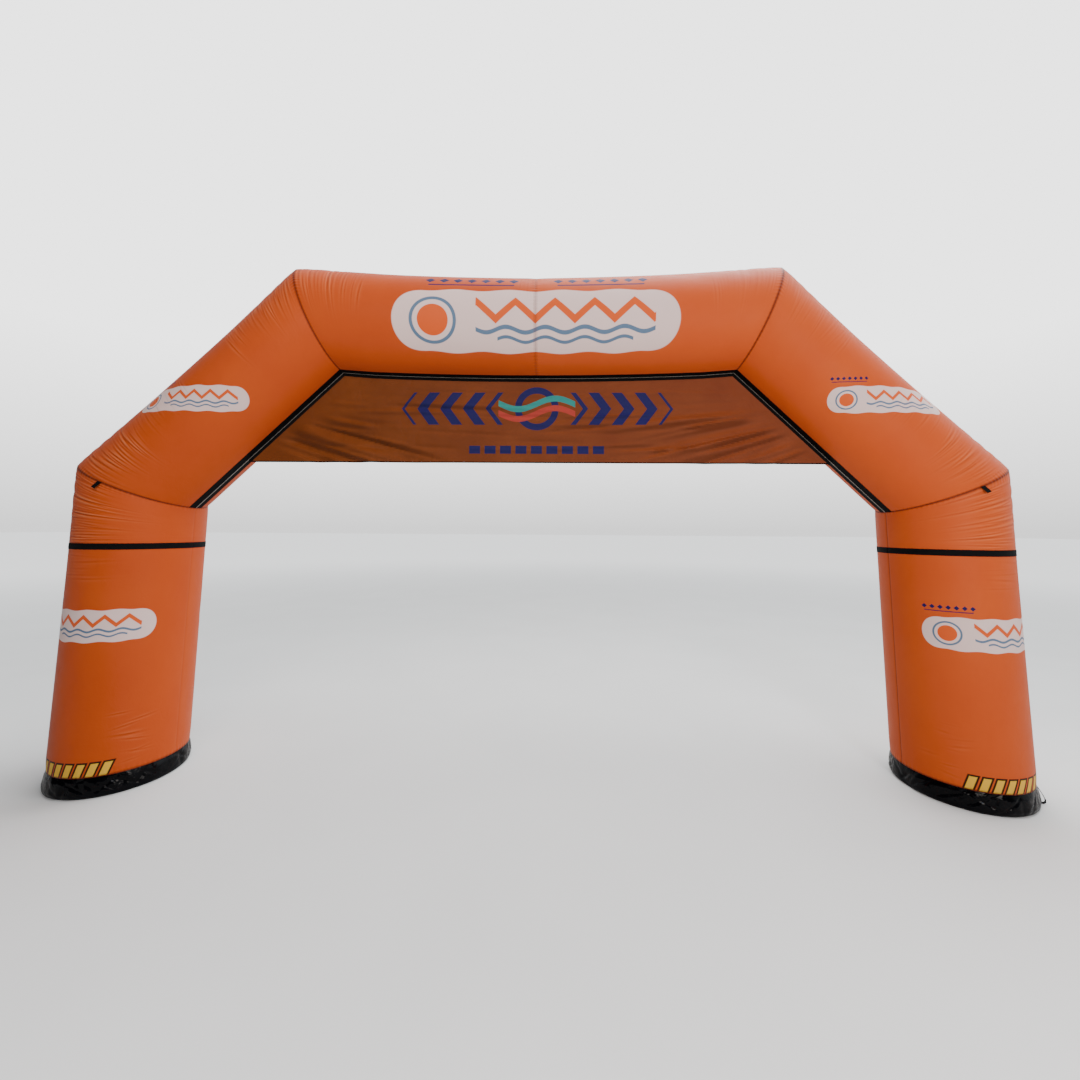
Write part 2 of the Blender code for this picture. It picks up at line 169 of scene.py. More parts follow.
class Section:
    """A straight length of tube between two mitred seams, with its gathers and creases."""

    def __init__(self, name, start, end):
        self.name = name
        self.start = np.array([start[0], 0.0, start[1]])
        span = np.array([end[0], 0.0, end[1]]) - self.start
        self.length = np.linalg.norm(span)
        self.along = unit(span)
        self.outward = np.array([self.along[2], 0.0, -self.along[0]])
        self.start_slope = 0.0
        self.end_slope = 0.0
        self.start_tuck = SEAM_TUCK
        self.end_tuck = SEAM_TUCK
        self.outer_dip = 0.0
        self.end_dip = 0.0
        self.start_rise = 0.0
        self.end_rise = 0.0
        self.sag = 0.0

    def creases(self, side):
        """Random small creases of this section, in columns: place, angle, depth, half width, reach and
        slant.
        """
        rng = np.random.default_rng(CREASE_SEED[self.name] + side)
        rows = []
        for name, low, high, count, depth, first, last, reach, slant, right_share in CREASES:
            if name != self.name:
                continue
            for face in (1, -1):
                places = np.linspace(low, high, count) + rng.normal(0, 0.22 * (high - low) / count, count)
                angles = face * np.radians(rng.uniform(first, last, count))
                depths = depth * rng.uniform(0.3, 1.0, count) * (right_share if side > 0 else 1.0)
                widths = rng.uniform(0.0045, 0.0080, count)
                reaches = np.radians(reach) * rng.uniform(0.6, 1.3, count)
                slants = face * slant * rng.uniform(-1.0, 1.0, count)
                rows.append(np.stack([places, angles, depths, widths, reaches, slants]))
        return np.concatenate(rows, axis=1)

    def crease_depth(self, angles, places, side):
        """Depth of all small creases: each is a narrow bell less a wider, shallower one, faded at both
        ends.
        """
        depths = np.zeros(np.broadcast(angles, places).shape)
        for place, angle, depth, half_width, reach, slant in self.creases(side).T:
            off = (places - place - slant * (angles - angle)) / half_width
            bell = 1.25 * np.exp(-off ** 2) - 0.5 * np.exp(-(off / 2.4) ** 2)
            depths += depth * bell * np.exp(-((angles - angle) / reach) ** 2)
        return depths

    def radius(self, angles, places, side):
        """Tube radius less the tucks at the seams, the dip of the outer line, the gathers, the creases and
        the groove of the sewn lines.
        """
        inner_share = np.clip(-np.cos(angles), 0, 1) ** 4
        to_start, to_end = places, self.length - places
        tuck = self.start_tuck * np.exp(-(to_start / SEAM_TUCK_REACH) ** 2)
        tuck = tuck + self.end_tuck * np.exp(-(to_end / SEAM_TUCK_REACH) ** 2)
        tuck = tuck + 0.35 * self.start_tuck * np.exp(-(to_start / 0.010) ** 2)
        tuck = tuck + 0.35 * self.end_tuck * np.exp(-(to_end / 0.010) ** 2)
        share = places / self.length
        dip = self.outer_dip * 4 * share * (1 - share) + self.end_dip * share
        dip = dip - self.start_rise * np.exp(-(to_start / RISE_REACH) ** 2)
        dip = dip - self.end_rise * np.exp(-(to_end / RISE_REACH) ** 2)
        radius = TUBE_RADIUS - tuck * (1 - inner_share) - dip * np.clip(np.cos(angles), 0, 1) ** 2
        wrapped = np.arctan2(np.sin(angles), np.cos(angles))
        for name, seam, distance, depth, half_width, reach in GATHERS:
            if name == self.name:
                place = distance if seam == "start" else self.length - distance
                across = np.exp(-((places - place) / half_width) ** 2)
                radius = radius - depth * across * np.exp(-(wrapped / math.radians(reach)) ** 2)
        radius = radius - self.crease_depth(wrapped, places, side)
        arc = TUBE_RADIUS * np.abs(wrapped)
        inner_arc = TUBE_RADIUS * (math.pi - np.abs(wrapped))
        groove = OUTER_GROOVE * np.exp(-(arc / GROOVE_HALF) ** 2)
        if self.name == "leg":
            groove = groove + INNER_GROOVE[side] * np.exp(-(inner_arc / GROOVE_HALF) ** 2)
        return radius - groove

    def wall(self, angles, places, side=1, proud=0.0):
        """Points on the skin, one row for each place: the axis point at its place, moved along the axis by
        the lean of the nearer mitre, out by the radius, and down by the sag.
        """
        angles = np.atleast_1d(np.asarray(angles, float))[None, :]
        places = np.atleast_1d(np.asarray(places, float))[:, None]
        inner_share = np.clip(-np.cos(angles), 0, 1) ** 4
        outer_share = np.clip(np.cos(angles), 0, 1) ** 2
        seam_radius = TUBE_RADIUS - SEAM_TUCK * (1 - inner_share) + proud
        at_start = (seam_radius + self.start_rise * outer_share) * self.start_slope
        at_end = (seam_radius + self.end_rise * outer_share) * self.end_slope
        from_start = np.clip(1 - (places - GAP) / LEAN_REACH, 0, 1)
        from_end = np.clip(1 - (self.length - places - GAP) / LEAN_REACH, 0, 1)
        lean = np.cos(angles) * (from_end * at_end - from_start * at_start)
        out = np.cos(angles)[..., None] * self.outward + np.sin(angles)[..., None] * FRONT
        sag = self.sag * (1 - (1 - places / self.length) ** 2)
        radius = self.radius(angles, places, side) + proud
        return (self.start + (places + lean)[..., None] * self.along + radius[..., None] * out
                - sag[..., None] * self.outward)

    def rows(self):
        """Ring places: 2.5 mm apart at the seams, 4.6 mm where the cloth creases, 18 mm elsewhere."""
        zones = [(row[1], row[2]) for row in CREASES if row[0] == self.name]

        def spacing(place):
            step = np.full_like(place, PLAIN_STEP)
            for low, high in zones:
                step = np.where((place > low - 0.03) & (place < high + 0.03), CREASE_STEP, step)
            ends = np.minimum(place, self.length - place)
            return np.minimum(step, SEAM_STEP + 0.12 * ends)

        return uneven(GAP / 2, self.length - GAP / 2, spacing)


def ring_angles():
    """Angles from the inner line once round: 2.5 mm apart at both sewn lines, 18 mm elsewhere."""
    def spacing(angle):
        arc = TUBE_RADIUS * np.minimum(np.abs(angle), math.pi - np.abs(angle))
        return np.minimum(PLAIN_STEP, SEAM_STEP + 0.30 * arc) / TUBE_RADIUS

    return uneven(-math.pi, math.pi, spacing)[:-1]


def mitre(lower, upper):
    """Lean the seam between two sections by half the turn from one to the other."""
    turn = math.acos(float(np.dot(lower.along, upper.along)))
    lower.end_slope = math.tan(turn / 2)
    upper.start_slope = math.tan(turn / 2)


leg = Section("leg", (LEG_X, SKIRT_HEIGHT), (LEG_X, KNEE_HEIGHT))
shoulder = Section("shoulder", (LEG_X, KNEE_HEIGHT), (BEAM_HALF, BEAM_HEIGHT))
beam = Section("beam", (BEAM_HALF, BEAM_HEIGHT), (0.0, BEAM_HEIGHT))
mitre(leg, shoulder)
mitre(shoulder, beam)
leg.end_rise = shoulder.start_rise = KNEE_RISE
shoulder.end_rise = beam.start_rise = CORNER_RISE
shoulder.outer_dip = 0.012
beam.end_dip = 0.026
beam.sag = BEAM_SAG
beam.end_tuck = MIDDLE_TUCK
SIDES = (("right", 1), ("left", -1))


def surface(name, grid, flat, around=False, capped=False, flip=False):
    """Mesh of a grid of points (rows, columns, 3) with flat (rows, columns, 2) as its UV map, in metres.

    Around joins the last column to the first, and then flat has one column more. Capped closes the first
    and last row with a fan.
    """
    rows, columns = grid.shape[:2]
    points = grid.reshape(-1, 3)
    wide = columns if around else columns - 1
    i, j = np.meshgrid(np.arange(rows - 1), np.arange(wide), indexing="ij")
    k = (j + 1) % columns
    quads = np.stack([i * columns + j, i * columns + k, (i + 1) * columns + k, (i + 1) * columns + j], -1)
    quads = quads.reshape(-1, 4)
    uv = np.stack([flat[i, j], flat[i, j + 1], flat[i + 1, j + 1], flat[i + 1, j]], -2).reshape(-1, 2)
    faces = quads.tolist()
    if capped:
        ends = np.stack([grid[0].mean(axis=0), grid[-1].mean(axis=0)])
        points = np.concatenate([points, ends])
        here = np.arange(columns)
        ahead = (here + 1) % columns
        first, last = np.full(columns, rows * columns), np.full(columns, rows * columns + 1)
        base = (rows - 1) * columns
        faces += np.stack([ahead, here, first], 1).tolist()
        faces += np.stack([base + here, base + ahead, last], 1).tolist()
        uv = np.concatenate([uv, np.zeros((6 * columns, 2))])
    if flip:
        faces = [face[::-1] for face in faces]
        sizes = np.array([len(face) for face in faces])
        starts = np.concatenate([[0], np.cumsum(sizes)[:-1]])
        order = np.concatenate([np.arange(s + n - 1, s - 1, -1) for s, n in zip(starts, sizes)])
        uv = uv[order]
    mesh = bpy.data.meshes.new(name)
    mesh.from_pydata(points.tolist(), [], faces)
    layer = mesh.uv_layers.new(name="Cloth")
    layer.data.foreach_set("uv", uv.ravel())
    mesh.shade_smooth()
    mesh.set_sharp_from_angle(angle=math.radians(40))
    mesh.update()
    piece = bpy.data.objects.new(name, mesh)
    bpy.context.scene.collection.objects.link(piece)
    return piece


def dress(piece, material, slot, *nodes):
    """Give a piece its finish, and let it stand for its solids. The slot is not used."""
    piece.data.materials.append(material)
    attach(piece, "root")
    if nodes:
        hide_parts(*nodes)
    return piece


# Materials


def add(tree, kind, links=None, **settings):
    """Add one node: links gives each input, by name or number, a value, a socket or another node."""
    made = tree.nodes.new("ShaderNode" + kind)
    for key, value in settings.items():
        setattr(made, key, value)
    for key, value in (links or {}).items():
        socket = made.inputs[key]
        if isinstance(value, bpy.types.Node):
            value = next(out for out in value.outputs if out.enabled)
        if isinstance(value, bpy.types.NodeSocket):
            tree.links.new(value, socket)
        else:
            socket.default_value = value
    return made


def new_material(name, **shader_values):
    """Material with its Principled shader's own sockets set."""
    material = bpy.data.materials.new(name)
    material.use_nodes = True
    tree = material.node_tree
    shader = tree.nodes["Principled BSDF"]
    for key, value in shader_values.items():
        shader.inputs[key.replace("_", " ")].default_value = value
    return material, tree, shader


def below(tree, distance, soft=0.002):
    """1 where the distance is negative, 0 where it is positive, with a soft edge."""
    return add(tree, "MapRange", {0: distance, 1: -soft, 2: soft, 3: 1.0, 4: 0.0})


def paint(tree, ground, mask, code):
    """Lay a colour, or another ground, over a ground where the mask is 1."""
    over = colour(code) if isinstance(code, str) else code
    return add(tree, "Mix", {0: mask, 6: ground, 7: over}, data_type="RGBA")


def box_distance(tree, point, centre, half, radius=0.01):
    """Distance to a box with round corners: length of (|point - centre| - half) above zero, less radius."""
    off = add(tree, "VectorMath", {0: point, 1: (*centre, 0.0)}, operation="SUBTRACT")
    off = add(tree, "VectorMath", {0: off}, operation="ABSOLUTE")
    off = add(tree, "VectorMath", {0: off, 1: (*half, 10.0)}, operation="SUBTRACT")
    off = add(tree, "VectorMath", {0: off, 1: (0.0, 0.0, 0.0)}, operation="MAXIMUM")
    size = add(tree, "VectorMath", {0: off}, operation="LENGTH")
    return add(tree, "Math", {0: size.outputs["Value"], 1: radius}, operation="SUBTRACT")


def stroke(tree, offset, half):
    """Distance to a stroke: |offset| - half."""
    size = add(tree, "Math", {0: offset}, operation="ABSOLUTE")
    return add(tree, "Math", {0: size, 1: half}, operation="SUBTRACT")


def both(tree, first, second):
    return add(tree, "Math", {0: first, 1: second}, operation="MAXIMUM")


def peaks_distance(tree, x, y, level, height, pitch, half):
    """Distance to a zigzag line: y less level and a triangle wave, made square to its slope."""
    wave = add(tree, "Math", {0: x, 1: pitch / 2}, operation="PINGPONG")
    slope = 2 * height / pitch
    line = add(tree, "Math", {0: wave, 1: slope, 2: level - height / 2}, operation="MULTIPLY_ADD")
    off = add(tree, "Math", {0: y, 1: line}, operation="SUBTRACT")
    off = add(tree, "Math", {0: off, 1: 1 / math.hypot(1, slope)}, operation="MULTIPLY")
    return stroke(tree, off, half)


def wave_distance(tree, x, y, level, height, pitch, half):
    """Distance to a wave line: y less level and a sine of x."""
    turn = add(tree, "Math", {0: x, 1: 2 * math.pi / pitch}, operation="MULTIPLY")
    sine = add(tree, "Math", {0: turn}, operation="SINE")
    line = add(tree, "Math", {0: sine, 1: height / 2, 2: level}, operation="MULTIPLY_ADD")
    off = add(tree, "Math", {0: y, 1: line}, operation="SUBTRACT")
    return stroke(tree, off, half)


def repeated(tree, x, pitch):
    """x measured from the nearest of a row of centres, a pitch apart."""
    share = add(tree, "Math", {0: x, 1: 1 / pitch, 2: 0.5}, operation="MULTIPLY_ADD")
    share = add(tree, "Math", {0: share}, operation="FRACT")
    return add(tree, "Math", {0: share, 1: pitch, 2: -pitch / 2}, operation="MULTIPLY_ADD")


def place_print(tree, flat, centre, turn, scale):
    """Coordinates of a print: moved to its centre, turned, and divided by its scales across and up."""
    moved = add(tree, "VectorMath", {0: flat, 1: (*centre, 0.0)}, operation="SUBTRACT")
    turned = add(tree, "VectorRotate", {"Vector": moved, "Angle": turn}, rotation_type="Z_AXIS")
    shrink = (1 / scale[0], 1 / scale[1], 1.0)
    point = add(tree, "VectorMath", {0: turned, 1: shrink}, operation="MULTIPLY")
    parts = add(tree, "SeparateXYZ", {0: point})
    return point, parts.outputs[0], parts.outputs[1]


PAPER, SUN, SLATE, NAVY = "E8CCC6", "DB5B27", "5E7690", "1B1852"
TEAL, RED, YELLOW, OUTLINE = "2B8680", "A83A30", "E8B63A", "2A1408"


def badge_print(tree, ground, flat, centre, turn, scale):
    """Pale label with a disc, a row of peaks and a wave line."""
    point, x, y = place_print(tree, flat, centre, turn, scale)
    ripple = add(tree, "Math", {0: x, 1: 14.0}, operation="MULTIPLY")
    ripple = add(tree, "Math", {0: ripple}, operation="COSINE")
    edge = box_distance(tree, point, (0, 0), (0.93, 0.0), 0.27)
    edge = add(tree, "Math", {0: ripple, 1: 0.010, 2: edge}, operation="MULTIPLY_ADD")
    ground = paint(tree, ground, below(tree, edge, 0.004), PAPER)
    disc = box_distance(tree, point, (-0.86, 0.0), (0, 0), 0.13)
    ground = paint(tree, ground, below(tree, disc), SUN)
    ring = box_distance(tree, point, (-0.86, 0.0), (0, 0), 0.185)
    ground = paint(tree, ground, below(tree, stroke(tree, ring, 0.014)), SLATE)
    window = box_distance(tree, point, (0.25, 0.0), (0.74, 0.22))
    peaks = peaks_distance(tree, x, y, 0.085, 0.15, 0.33, 0.028)
    ground = paint(tree, ground, below(tree, both(tree, peaks, window)), SUN)
    line = wave_distance(tree, x, y, -0.075, 0.045, 0.33, 0.018)
    ground = paint(tree, ground, below(tree, both(tree, line, window)), SLATE)
    line = wave_distance(tree, x, y, -0.155, 0.045, 0.33, 0.014)
    short = box_distance(tree, point, (0.25, 0.0), (0.56, 0.22))
    return paint(tree, ground, below(tree, both(tree, line, short)), SLATE)


def diamond_print(tree, ground, flat, centre, turn, scale, count=7):
    """Row of navy diamonds over a thin navy line."""
    point, x, y = place_print(tree, flat, centre, turn, scale)
    pitch = 0.12
    off = add(tree, "Math", {0: repeated(tree, x, pitch)}, operation="ABSOLUTE")
    rise = add(tree, "Math", {0: y}, operation="ABSOLUTE")
    diamond = add(tree, "Math", {0: off, 1: rise}, operation="ADD")
    diamond = add(tree, "Math", {0: diamond, 1: 0.043}, operation="SUBTRACT")
    window = box_distance(tree, point, (0, 0), (pitch * count / 2, 0.05))
    ground = paint(tree, ground, below(tree, both(tree, diamond, window)), NAVY)
    line = box_distance(tree, point, (0, -0.075), (pitch * count / 2 - 0.06, 0.0), 0.008)
    return paint(tree, ground, below(tree, line), NAVY)


def dash_print(tree, ground, flat, centre, turn, scale, count=9):
    """Row of slanted yellow bars, each with a dark outline."""
    point, x, y = place_print(tree, flat, centre, turn, scale)
    pitch = 0.085
    leaning = add(tree, "Math", {0: y, 1: -0.35, 2: x}, operation="MULTIPLY_ADD")
    off = add(tree, "Math", {0: repeated(tree, leaning, pitch)}, operation="ABSOLUTE")
    rise = add(tree, "Math", {0: y}, operation="ABSOLUTE")
    window = stroke(tree, leaning, pitch * count / 2)
    for code, grow in ((OUTLINE, 0.013), (YELLOW, 0.0)):
        wide = add(tree, "Math", {0: off, 1: 0.024 + grow}, operation="SUBTRACT")
        tall = add(tree, "Math", {0: rise, 1: 0.048 + grow}, operation="SUBTRACT")
        bar = both(tree, both(tree, wide, tall), window)
        ground = paint(tree, ground, below(tree, bar), code)
    return ground


# Strength of the seam's shade at a section's end, and of the sewn line inside the leg
END_SHADE = {"leg": 0.85, "shoulder": 0.85, "beam": 0.25}
INNER_LINE = {1: 0.6, -1: 0.12}

# Shades of the cloth, darker and lighter, right and left; the right pair is lighter as painted light on the
# right side
ORANGE_WITH_SIDE_LIGHT = {1: ("C44C1C", "CF5A24"), -1: ("B9461A", "C8541E")}


def nylon(section, side, side_name):
    """PU-coated oxford nylon, woven and dyed orange: a dull soft sheen, with faint weave and blotches,
    painted shade in its creases and painted highlight on their ridges.

    The 0.4 mm threads are far too fine to show, so the weave is drawn 9 mm apart. Two rows of stitches
    run along each seam; their real length is 4 mm, drawn as 6 mm.
    """
    material, tree, shader = new_material(
        f"coated_nylon_{section.name}_{side_name}", Roughness=0.52, IOR=1.48, Sheen_Weight=0.05,
        Sheen_Roughness=0.45, Specular_IOR_Level=0.12)
    flat = add(tree, "TexCoord").outputs["UV"]
    parts = add(tree, "SeparateXYZ", {0: flat})
    along, round_arc = parts.outputs[0], parts.outputs[1]
    arc = add(tree, "Math", {0: round_arc}, operation="ABSOLUTE")
    same_on_back = add(tree, "CombineXYZ", {0: along, 1: arc})

    blotch = add(tree, "TexNoise", {"Vector": flat, "Scale": 1.7, "Detail": 3.0})
    # Blotches between the two shades of this side; the right side's shades are painted lighter as painted
    # light
    base = paint(tree, colour(ORANGE_WITH_SIDE_LIGHT[side][0]), blotch, ORANGE_WITH_SIDE_LIGHT[side][1])
    for draw, centre, turn, scale in print_list(section, side):
        base = draw(tree, base, same_on_back, centre, turn, scale)

    to_end = add(tree, "Math", {0: section.length, 1: along}, operation="SUBTRACT")
    seam = add(tree, "Math", {0: along, 1: to_end}, operation="MINIMUM")
    stitch = add(tree, "Math", {0: repeated(tree, round_arc, 0.009)}, operation="ABSOLUTE")
    stitch = add(tree, "Math", {0: stitch, 1: 0.003}, operation="SUBTRACT")
    row = add(tree, "Math", {0: repeated(tree, seam, 0.010)}, operation="ABSOLUTE")
    row = add(tree, "Math", {0: row, 1: 0.0042}, operation="SUBTRACT")
    row = add(tree, "Math", {0: row, 1: -1.0}, operation="MULTIPLY")
    near = add(tree, "Math", {0: seam, 1: 0.020}, operation="SUBTRACT")
    stitches = both(tree, both(tree, stitch, row), near)
    base = paint(tree, base, below(tree, stitches, 0.0005), "8E3C16")
    # Painted shade in each crease and painted highlight on the ridges beside it, read from the crease
    # attribute
    crease = add(tree, "Attribute", attribute_name="crease").outputs["Fac"]
    crease_painted_shade = add(tree, "MapRange", {0: crease, 1: 0.0, 2: 1.0, 3: 0.0, 4: CREASE_SHADE})
    base = paint(tree, base, crease_painted_shade, "7A2C0A")
    ridge = add(tree, "MapRange", {0: crease, 1: 0.0, 2: -0.5, 3: 0.0, 4: RIDGE_LIGHT})
    base = paint(tree, base, ridge, "F09462")
    for distance, strength in ((along, 0.85), (to_end, END_SHADE[section.name])):
        shade = add(tree, "MapRange", {0: distance, 1: 0.003, 2: 0.016, 3: strength, 4: 0.0})
        base = paint(tree, base, shade, "5E1E0A")
    lines = [(arc, 0.6)]
    if section.name == "leg":
        inner = add(tree, "Math", {0: INNER * TUBE_RADIUS, 1: arc}, operation="SUBTRACT")
        lines.append((inner, INNER_LINE[side]))
    for distance, strength in lines:
        line = add(tree, "MapRange", {0: distance, 1: 0.001, 2: 0.008, 3: strength, 4: 0.0})
        base = paint(tree, base, line, "6E260C")
    tree.links.new(base.outputs[2], shader.inputs["Base Color"])

    weave = add(tree, "TexNoise", {"Vector": flat, "Scale": 110.0, "Detail": 1.0})
    crumple = add(tree, "TexNoise", {"Vector": flat, "Scale": 9.0, "Detail": 4.0, "Distortion": 0.6})
    rough = add(tree, "MapRange", {0: crumple.outputs[0], 3: 0.44, 4: 0.60})
    tree.links.new(rough.outputs[0], shader.inputs["Roughness"])
    threads = add(tree, "Bump", {"Strength": 0.10, "Distance": 0.004, "Height": weave.outputs[0]})
    soft = add(tree, "Bump", {"Strength": 0.25, "Distance": 0.010, "Height": crumple.outputs[0],
                              "Normal": threads})
    pucker_turn = add(tree, "Math", {0: round_arc, 1: 2 * math.pi / 0.034}, operation="MULTIPLY")
    pucker = add(tree, "Math", {0: pucker_turn}, operation="SINE")
    reach = add(tree, "MapRange", {0: seam, 1: 0.004, 2: 0.055, 3: 1.0, 4: 0.0})
    pucker = add(tree, "Math", {0: pucker, 1: reach}, operation="MULTIPLY")
    puckered = add(tree, "Bump", {"Strength": 0.35, "Distance": 0.003, "Height": pucker, "Normal": soft})
    tree.links.new(puckered.outputs[0], shader.inputs["Normal"])
    return material


def polyester():
    """Thin woven polyester flag cloth, matt. Its dark colour is partly the cloth's own and partly painted
    shade of the beam; painted light makes it lighter on the right and where a fold faces up, painted shade
    darker where a fold faces down, and its print shows soft edges.
    """
    material, tree, shader = new_material(
        "flag_polyester", Roughness=0.62, IOR=1.5, Sheen_Weight=0.04, Specular_IOR_Level=0.15)
    flat = add(tree, "TexCoord").outputs["UV"]
    parts = add(tree, "SeparateXYZ", {0: flat})
    x, z = parts.outputs[0], parts.outputs[1]
    blotch = add(tree, "TexNoise", {"Vector": flat, "Scale": 2.5, "Detail": 4.0})
    # Cloth colour, darkened as painted shade of the beam; the left pair is darker, the right pair lighter
    # as painted light
    dark = paint(tree, colour("5E2C0C"), blotch, "7A3E16")
    light = paint(tree, colour("6C3016"), blotch, "824020")
    # Painted light: the cloth turns from the darker pair on the left to the lighter pair on the right
    painted_light_share = add(tree, "MapRange", {0: x, 1: -1.6, 2: 2.0, 3: 0.0, 4: 1.0})
    base = paint(tree, dark, painted_light_share, light)
    middle = (0.0, 3.17)
    side = add(tree, "Math", {0: x}, operation="ABSOLUTE")
    rise = add(tree, "Math", {0: z, 1: middle[1]}, operation="SUBTRACT")
    rise = add(tree, "Math", {0: rise}, operation="ABSOLUTE")
    arrow = add(tree, "Math", {0: rise, 1: 0.75, 2: side}, operation="MULTIPLY_ADD")
    row = repeated(tree, arrow, 0.21)
    arrow_line = stroke(tree, row, 0.048)
    tall = add(tree, "Math", {0: rise, 1: 0.15}, operation="SUBTRACT")
    near = add(tree, "Math", {0: 0.42, 1: arrow}, operation="SUBTRACT")
    far = add(tree, "Math", {0: arrow, 1: 1.24}, operation="SUBTRACT")
    arrows = both(tree, both(tree, arrow_line, tall), both(tree, near, far))
    base = paint(tree, base, below(tree, arrows), NAVY)
    ring = box_distance(tree, flat, middle, (0, 0), 0.17)
    base = paint(tree, base, below(tree, stroke(tree, ring, 0.030)), NAVY)
    window = box_distance(tree, flat, middle, (0.34, 0.3))
    for level, code in ((0.045, TEAL), (-0.045, RED)):
        swell = wave_distance(tree, x, z, middle[1] + level, 0.10, 0.68, 0.028)
        base = paint(tree, base, below(tree, both(tree, swell, window)), code)
    blocks = stroke(tree, repeated(tree, x, 0.14), 0.050)
    low = box_distance(tree, flat, (0.0, 2.79), (0.62, 0.026))
    base = paint(tree, base, below(tree, both(tree, blocks, low)), NAVY)
    # Painted light and shade on the folds: lighter where a fold faces up, darker where it faces down
    fold = add(tree, "Attribute", attribute_name="fold").outputs["Fac"]
    fold = add(tree, "MapRange", {0: fold, 1: -1.0, 2: 1.0, 3: 0.72, 4: 1.24})
    base = add(tree, "Mix", {0: 1.0, 6: base.outputs[2], 7: fold}, data_type="RGBA", blend_type="MULTIPLY")
    tree.links.new(base.outputs[2], shader.inputs["Base Color"])
    weave = add(tree, "TexNoise", {"Vector": flat, "Scale": 120.0, "Detail": 1.0})
    crumple = add(tree, "TexNoise", {"Vector": flat, "Scale": 7.0, "Detail": 4.0, "Distortion": 0.8})
    threads = add(tree, "Bump", {"Strength": 0.10, "Distance": 0.003, "Height": weave.outputs[0]})
    soft = add(tree, "Bump", {"Strength": 0.50, "Distance": 0.020, "Height": crumple.outputs[0],
                              "Normal": threads})
    tree.links.new(soft.outputs[0], shader.inputs["Normal"])
    return material


def vinyl():
    """Calendered PVC-coated cloth, black and glossy: sharp highlights broken by soft dents and dust."""
    material, tree, shader = new_material(
        "glossy_vinyl", Roughness=0.15, IOR=1.53, Specular_IOR_Level=0.13)
    place = add(tree, "TexCoord").outputs["Object"]
    dust = add(tree, "TexNoise", {"Vector": place, "Scale": 14.0, "Detail": 6.0, "Roughness": 0.65})
    low = add(tree, "SeparateXYZ", {0: place})
    near_ground = add(tree, "MapRange", {0: low.outputs[2], 1: 0.0, 2: 0.09, 3: 0.6, 4: 0.1})
    dusty = add(tree, "Math", {0: dust.outputs[0], 1: near_ground}, operation="MULTIPLY")
    base = paint(tree, colour("020204"), dusty, "101016")
    tree.links.new(base.outputs[2], shader.inputs["Base Color"])
    rough = add(tree, "MapRange", {0: dust.outputs[0], 1: 0.35, 2: 0.75, 3: 0.10, 4: 0.26})
    tree.links.new(rough.outputs[0], shader.inputs["Roughness"])
    dents = add(tree, "TexNoise", {"Vector": place, "Scale": 9.0, "Detail": 3.0, "Distortion": 1.2})
    bumped = add(tree, "Bump", {"Strength": 0.45, "Distance": 0.02, "Height": dents.outputs[0]})
    tree.links.new(bumped.outputs[0], shader.inputs["Normal"])
    return material


def webbing(name, coordinates, pitch=0.008):
    """Woven polypropylene tape, black and matt: ribs across it, with paler fuzz on the raised threads.

    The 1.5 mm ribs are too fine to show, so they are drawn 8 mm apart.
    """
    material, tree, shader = new_material(name, Roughness=0.78, IOR=1.49, Specular_IOR_Level=0.12)
    place = add(tree, "TexCoord").outputs[coordinates]
    ribs = add(tree, "TexWave", {"Vector": place, "Scale": 0.314 / pitch, "Distortion": 1.5, "Detail": 1.0,
                                 "Detail Scale": 2.0}, wave_type="BANDS", bands_direction="DIAGONAL")
    fuzz = add(tree, "TexNoise", {"Vector": place, "Scale": 60.0, "Detail": 4.0})
    level = add(tree, "Math", {0: ribs.outputs[1], 1: fuzz.outputs[0]}, operation="MULTIPLY")
    base = paint(tree, colour("040405"), level, "101012")
    tree.links.new(base.outputs[2], shader.inputs["Base Color"])
    bumped = add(tree, "Bump", {"Strength": 0.4, "Distance": 0.002, "Height": ribs.outputs[1]})
    tree.links.new(bumped.outputs[0], shader.inputs["Normal"])
    return material


def coil():
    """Moulded nylon zip chain, grey: pale teeth with dark gaps, drawn 8 mm apart instead of 2 mm."""
    material, tree, shader = new_material("zip_chain_nylon", Roughness=0.4, IOR=1.52)
    parts = add(tree, "SeparateXYZ", {0: add(tree, "TexCoord").outputs["UV"]})
    tooth = add(tree, "Math", {0: repeated(tree, parts.outputs[0], 0.008)}, operation="ABSOLUTE")
    gap = add(tree, "MapRange", {0: tooth, 1: 0.002, 2: 0.004, 3: 0.0, 4: 1.0})
    base = paint(tree, colour("8E867E"), gap, "38342F")
    tree.links.new(base.outputs[2], shader.inputs["Base Color"])
    bumped = add(tree, "Bump", {"Strength": 0.5, "Distance": 0.002, "Height": gap}, invert=True)
    tree.links.new(bumped.outputs[0], shader.inputs["Normal"])
    return material


def degrees_arc(angle):
    return math.radians(angle) * TUBE_RADIUS


tape = webbing("woven_tape", "UV")
strap = webbing("woven_strap", "Object", 0.006)
chain = coil()
banner_cloth = polyester()
skirt_vinyl = vinyl()


def label_prints(centre, turn, size, side):
    """A label, and a small row of diamonds above its left end, moved in level axes and turned back."""
    small = 0.9 * size
    across, up = -side * (1.2 * size - 0.42 * small), 0.43 * size
    above = (centre[0] + across * math.cos(turn) + up * math.sin(turn),
             centre[1] - across * math.sin(turn) + up * math.cos(turn))
    return [(badge_print, centre, turn, (size * side, size)),
            (diamond_print, above, turn, (small * side, small))]


def print_list(section, side):
    """Prints of a section: how each is drawn, its centre (place, arc), turn and scales.

    A print is turned by the section's slope to stand level, and mirrored back on the left.
    """
    turn = math.atan2(section.along[2], section.along[0])
    if section.name == "beam":
        return [(badge_print, (beam.length, degrees_arc(104)), turn, (side, 1)),
                (diamond_print, (beam.length - 0.55, degrees_arc(52)), turn, (side, 1))]
    if section.name == "shoulder":
        return label_prints((0.96, degrees_arc(86)), turn, 0.40, side)
    return label_prints((1.14, degrees_arc(80)), turn, 0.46, side) + [
        (dash_print, (0.055, degrees_arc(78)), turn, (side, 1))]


